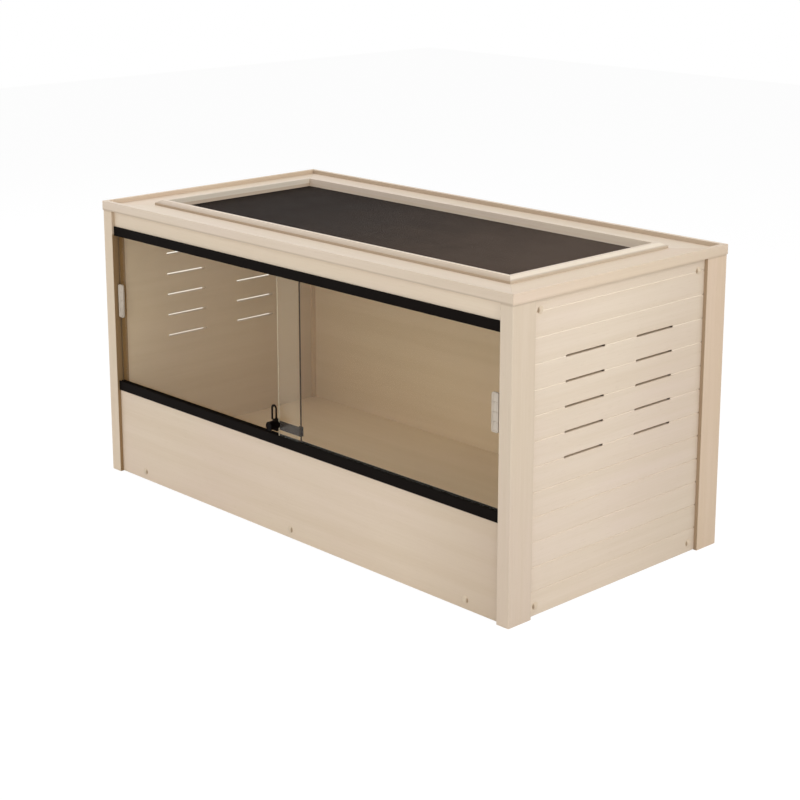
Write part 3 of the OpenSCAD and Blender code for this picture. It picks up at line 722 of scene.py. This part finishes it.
def pullHandle(name, node, body):
    # a moulded plate: the rounded outline carried inwards and upwards along a profile, and ribs,
    # each a bar of oval section across the hollow
    low, high = (np.array(corner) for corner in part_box(node))
    middle, half = (low + high) / 2, (high - low) / 2
    rings = []
    for inset, height in handleLook["profile"]:
        radius = max(handleLook["corner"] - inset, handleLook["leastRadius"])
        ring = roundedRing(half[0] - inset, half[2] - inset, radius, handleLook["cornerSteps"])
        rings.append(np.stack([ring[:, 0] + middle[0], np.full(len(ring), high[1] - height),
                               ring[:, 1] + middle[2]], -1))
    parts = [(np.concatenate(rings), stackFaces(len(rings), len(rings[0])))]
    turn = np.linspace(0, 2 * math.pi, handleLook["ribSides"], endpoint=False)
    # the ribs end in the wall of the hollow
    reach = half[0] - handleLook["profile"][-2][0]
    for rib in handleLook["ribs"]:
        bar = np.zeros((2, len(turn), 3))
        bar[..., 0] = middle[0] + np.array([-reach, reach])[:, None]
        bar[..., 1] = high[1] - handleLook["ribAxis"] + handleLook["ribHigh"] * np.cos(turn)
        bar[..., 2] = middle[2] + rib + handleLook["ribWide"] / 2 * np.sin(turn)
        parts.append((bar.reshape(-1, 3), stackFaces(2, len(turn))))
    piece = newPiece(name, *joined(parts), ["handle"])
    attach(piece, body)
    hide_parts(node)


keyLook = {
    "thick": 0.002,
    "leg": 0.0046,
    "bowRadius": 0.0055,
    "bowSteps": 8,
    "edge": 0.0007,
    "edgeSteps": 3,
    "arris": 0.0004,
    "bladeWide": 0.0056,
    "blade": 0.0093,
    "tip": 0.85,
    "foot": 0.0026,
    "footRadius": 0.0011,
    "footSteps": 4,
}


def loopKey():
    # the bow: a rounded section carried up one leg, round the top and down the other;
    # the foot: a rounded outline carried through its thickness, drawn in a little at both faces;
    # the blade: a rounded section carried up from its tip into the foot
    low, high = (np.array(corner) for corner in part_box("door_key"))
    middle = (low + high) / 2
    leg, thick, arris = keyLook["leg"], keyLook["thick"], keyLook["arris"]
    rounding = (keyLook["edge"], keyLook["edgeSteps"])
    bottom = low[2] + keyLook["blade"]
    wide = (high[0] - low[0] - leg) / 2
    bend = roundedRing(wide, high[2] - bottom - leg / 2, keyLook["bowRadius"], keyLook["bowSteps"])
    bend = bend[:len(bend) // 2]
    path = np.concatenate([[(wide, keyLook["edge"])], bend, [(-wide, keyLook["edge"])]])
    ahead = np.gradient(path, axis=0)
    outward = np.stack([ahead[:, 1], -ahead[:, 0]], -1) / np.linalg.norm(ahead, axis=1)[:, None]
    section = roundedRing(leg / 2, thick / 2, *rounding)
    spread = path[:, None] + outward[:, None] * section[None, :, :1]
    bow = np.stack([spread[..., 0] + middle[0],
                    np.broadcast_to(middle[1] + section[:, 1], spread.shape[:2]),
                    spread[..., 1] + bottom], -1)
    plates = []
    footWide, footHigh, footRadius = wide + leg / 2, keyLook["foot"] / 2, keyLook["footRadius"]
    half = thick / 2
    for inset, depth in ((arris, -half), (0, arris - half), (0, half - arris), (arris, half)):
        plate = roundedRing(footWide - inset, footHigh - inset, footRadius - inset, keyLook["footSteps"])
        plates.append(np.stack([plate[:, 0] + middle[0], np.full(len(plate), middle[1] + depth),
                                plate[:, 1] + bottom + footHigh], -1))
    blade = roundedRing(keyLook["bladeWide"] / 2, half, *rounding)
    heights = np.array([low[2], low[2] + arris, bottom + footHigh])
    shrink = np.array([keyLook["tip"], 1.0, 1.0])
    shaft = np.zeros((3, len(blade), 3))
    shaft[..., :2] = blade[None] * shrink[:, None, None] + middle[:2]
    shaft[..., 2] = heights[:, None]
    parts = [(bow.reshape(-1, 3), stackFaces(len(path), len(section))),
             (np.concatenate(plates), stackFaces(len(plates), len(plates[0]))),
             (shaft.reshape(-1, 3), stackFaces(3, len(blade)))]
    piece = newPiece("loop_key", *joined(parts), ["key"])
    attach(piece, "key")
    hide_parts("door_key")


wireScreen()
glassPane("left_pane", "left_glass", "left_door", "darkEdge", paneLook["leftSide"])
glassPane("right_pane", "right_glass", "right_door", "paleEdge", paneLook["rightSide"])
pullHandle("left_pull", "left_handle", "left_door")
pullHandle("right_pull", "right_handle", "right_door")
loopKey()
print("new pieces made")


studio = {
    "floorSize": 14.0,
    "floorColour": (0.86, 0.86, 0.86),
    "floorGlow": 0.93,
    "floorShadow": 0.12,
    "ambient": 0.37,
    "lamps": {
        "left window": {"place": (-1.6, -3.4, 2.0), "size": 2.6, "power": 34},
        "right window": {"place": (1.8, -3.4, 1.1), "size": 2.0, "power": 22},
        "side window": {"place": (2.0, -0.45, 1.3), "size": 1.4, "power": 11.6},
        "rear window": {"place": (2.2, 1.6, 2.4), "size": 2.0, "power": 20},
        "roof window": {"place": (-2.4, 0.4, 2.6), "size": 2.0, "power": 27},
        "ceiling": {"place": (0, 0, 3.6), "size": 2.4, "power": 12},
    },
}


def studioFloor():
    # camera, gloss and glass see it almost as bright as the world, with faint shadows on it;
    # bounced light meets plain pale paint
    half = studio["floorSize"] / 2
    mesh = bpy.data.meshes.new("studio floor")
    spots = [(-half, -half, 0), (half, -half, 0), (half, half, 0), (-half, half, 0)]
    mesh.from_pydata(spots, [], [(0, 1, 2, 3)])
    floor = bpy.data.objects.new("studio_floor", mesh)
    bpy.context.scene.collection.objects.link(floor)
    finish = Finish("studio floor", Roughness=1.0, Specular_IOR_Level=0.0, Base_Color=studio["floorColour"])
    faint = finish.add("ShaderNodeBsdfDiffuse", values={"Color": (studio["floorShadow"],) * 3})
    glow = finish.add("ShaderNodeEmission", values={"Strength": studio["floorGlow"]})
    both = finish.add("ShaderNodeAddShader", values={0: faint, 1: glow})
    finish.layOver(Field(finish, anyRay(finish.tree, "Camera", "Glossy", "Transmission")), both)
    mesh.materials.append(finish.material)


def studioWorld():
    # even light, and white where the camera, gloss or glass sees it
    world = bpy.data.worlds.new("studio")
    bpy.context.scene.world = world
    world.use_nodes = True
    tree = world.node_tree
    strength = tree.nodes.new("ShaderNodeMapRange")
    strength.inputs["To Min"].default_value = studio["ambient"]
    strength.inputs["To Max"].default_value = 1.0
    tree.links.new(anyRay(tree, "Camera", "Glossy", "Transmission"), strength.inputs["Value"])
    background = tree.nodes["Background"]
    background.inputs["Color"].default_value = (1, 1, 1, 1)
    tree.links.new(strength.outputs[0], background.inputs["Strength"])


# degrees round and above, metres, and pixels of a square picture; axisRow is the row that the lens points
# at, which shifts the picture and keeps uprights parallel
view = {
    "azimuth": 46.324,
    "elevation": 13.233,
    "distance": 3.7599,
    "slideRight": 0.0078,
    "slideUp": 0.1608,
    "focalPixels": 1793.8,
    "imagePixels": 800,
    "axisRow": 288,
    "aimHeight": 0.307,
}


def softLamp(name, place, size, power):
    # a square lamp that faces the cabinet's middle
    lamp = bpy.data.lights.new(name, "AREA")
    lamp.shape = "SQUARE"
    lamp.size = size
    lamp.energy = power
    thing = bpy.data.objects.new(name, lamp)
    bpy.context.scene.collection.objects.link(thing)
    aim = Vector((0, 0, view["aimHeight"])) - Vector(place)
    thing.location = place
    thing.rotation_euler = aim.to_track_quat("-Z", "Y").to_euler()


def addCamera():
    # back points from the cabinet to the camera, right and up span the picture
    turn, rise = math.radians(view["azimuth"]), math.radians(view["elevation"])
    back = Vector((math.sin(turn) * math.cos(rise), -math.cos(turn) * math.cos(rise), math.sin(rise)))
    right = Vector((math.cos(turn), math.sin(turn), 0))
    up = back.cross(right)
    lens = bpy.data.cameras.new("camera")
    lens.sensor_width = 36
    lens.lens = view["focalPixels"] * lens.sensor_width / view["imagePixels"]
    lens.shift_y = view["axisRow"] / view["imagePixels"] - 0.5
    camera = bpy.data.objects.new("camera", lens)
    bpy.context.scene.collection.objects.link(camera)
    place = Vector((0, 0, view["aimHeight"])) + back * view["distance"]
    place += right * view["slideRight"] + up * view["slideUp"]
    axes = Matrix((right, up, back)).transposed().to_4x4()
    camera.matrix_world = Matrix.Translation(place) @ axes
    bpy.context.scene.camera = camera


studioFloor()
studioWorld()
for name, lamp in studio["lamps"].items():
    softLamp(name, **lamp)
addCamera()
bpy.context.scene.view_settings.view_transform = "Standard"
print("studio ready")
